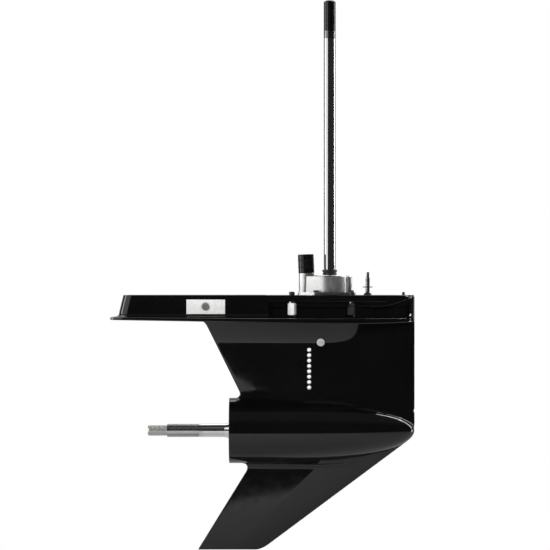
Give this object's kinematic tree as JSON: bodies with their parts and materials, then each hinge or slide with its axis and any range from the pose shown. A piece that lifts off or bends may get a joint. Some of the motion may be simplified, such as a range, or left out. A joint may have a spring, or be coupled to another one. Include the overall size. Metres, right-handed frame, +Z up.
{
  "type": "outboard lower unit",
  "caption": "Outboard lower unit: gearcase with skeg, driveshaft, bevel gears, dog clutch, propeller shaft, water pump and shift shaft.",
  "frame": {"origin": "on the driveshaft axis, in the plane of the deck face that meets the driveshaft housing", "axes": "+X points ahead, along the propeller shaft away from the propeller, +Y to port, +Z up the driveshaft"},
  "size_m": [0.5662, 0.196, 1.0153],
  "materials": {
    "gloss_black": "deep gloss black paint over cast aluminium",
    "black_steel": "black coated steel",
    "chrome": "polished ground steel",
    "stainless": "bright stainless steel",
    "bearing_steel": "ground bearing steel",
    "gear_steel": "machined and case-hardened steel, oiled",
    "bronze": "machined bronze",
    "pump_silver": "satin cast and tumbled metal",
    "anode_metal": "bare cast anode alloy, bright grey and slightly grained",
    "rubber": "moulded black rubber with a slight gloss",
    "black_plastic": "moulded black plastic",
    "gasket": "dark gasket sheet"
  },
  "bodies": {
    "gearcase": {"gearcase_housing": "gloss_black", "port_anode": "anode_metal", "starboard_anode": "anode_metal", "anode_bolt": "black_steel", "anode_nut": "black_steel", "vent_screw": "stainless", "vent_gasket": "gasket", "drain_screw": "stainless", "drain_gasket": "gasket", "speed_passage_plug": "stainless", "pitot_fitting": "stainless", "aft_deck_bolts": "chrome", "front_deck_bolts": "chrome", "deck_bolt_washers": "chrome", "upper_bearing_cup": "bearing_steel", "bearing_retainer": "bearing_steel", "lower_needle_bearing": "bearing_steel", "forward_bearing_cup": "bearing_steel", "reverse_bearing_cup": "bearing_steel", "bearing_carrier": "gloss_black", "carrier_o_ring": "rubber", "carrier_tab_washer": "stainless", "carrier_ring_nut": "gloss_black", "prop_needle_bearing": "bearing_steel", "prop_shaft_seals": "rubber", "shift_bushing": "black_plastic", "shift_seal": "rubber", "base_gasket": "gasket", "wear_plate": "stainless", "pump_base": "black_plastic", "driveshaft_seals": "rubber", "pump_cup": "stainless", "pump_housing": "pump_silver", "pump_bolts": "stainless", "water_tube_coupling": "rubber"},
    "drive_line": {"driveshaft": "chrome", "impeller_key": "bearing_steel", "pinion_gear": "gear_steel", "pinion_nut": "gear_steel", "upper_bearing_cone": "bearing_steel", "impeller": "rubber", "shaft_slinger": "black_plastic"},
    "forward_gear_set": {"forward_gear": "gear_steel", "forward_bearing_cone": "bearing_steel", "forward_gear_bush": "bronze"},
    "reverse_gear_set": {"reverse_gear": "gear_steel", "reverse_bearing_cone": "bearing_steel", "reverse_gear_bush": "bronze"},
    "prop_shaft_line": {"prop_shaft": "chrome"},
    "clutch": {"clutch_dog": "gear_steel", "clutch_cross_pin": "gear_steel", "clutch_retaining_spring": "bearing_steel", "clutch_rod": "gear_steel"},
    "follower": {"cam_follower": "gear_steel"},
    "shift": {"shift_shaft": "chrome", "shift_crank": "gear_steel", "shift_clip": "black_steel"}
  },
  "joints": [
    {"name": "driveshaft_spin", "type": "hinge", "parent": "gearcase", "child": "drive_line", "pos_m": [0, 0, 0], "axis": [0, 0, 1], "continuous": true},
    {"name": "forward_gear_spin", "type": "hinge", "parent": "gearcase", "child": "forward_gear_set", "pos_m": [0, 0, -0.2505], "axis": [1, 0, 0], "continuous": true},
    {"name": "reverse_gear_spin", "type": "hinge", "parent": "gearcase", "child": "reverse_gear_set", "pos_m": [0, 0, -0.2505], "axis": [1, 0, 0], "continuous": true},
    {"name": "prop_shaft_spin", "type": "hinge", "parent": "gearcase", "child": "prop_shaft_line", "pos_m": [0, 0, -0.2505], "axis": [1, 0, 0], "continuous": true},
    {"name": "shift_shaft_turn", "type": "hinge", "parent": "gearcase", "child": "shift", "pos_m": [0.0701, 0, 0], "axis": [0, 0, 1], "range_deg": [-30, 30]},
    {"name": "clutch_slide", "type": "slide", "parent": "prop_shaft_line", "child": "clutch", "axis": [1, 0, 0], "range_m": [-0.005, 0.005]},
    {"name": "follower_slide", "type": "slide", "parent": "gearcase", "child": "follower", "axis": [1, 0, 0], "range_m": [-0.005, 0.005]}
  ],
  "couplings": [
    {"joint": "forward_gear_spin", "follows": "driveshaft_spin", "ratio": -0.5},
    {"joint": "reverse_gear_spin", "follows": "driveshaft_spin", "ratio": 0.5},
    {"joint": "shift_shaft_turn", "follows": "clutch_slide", "rad_per_m": -104.72},
    {"joint": "follower_slide", "follows": "clutch_slide", "ratio": 1}
  ]
}
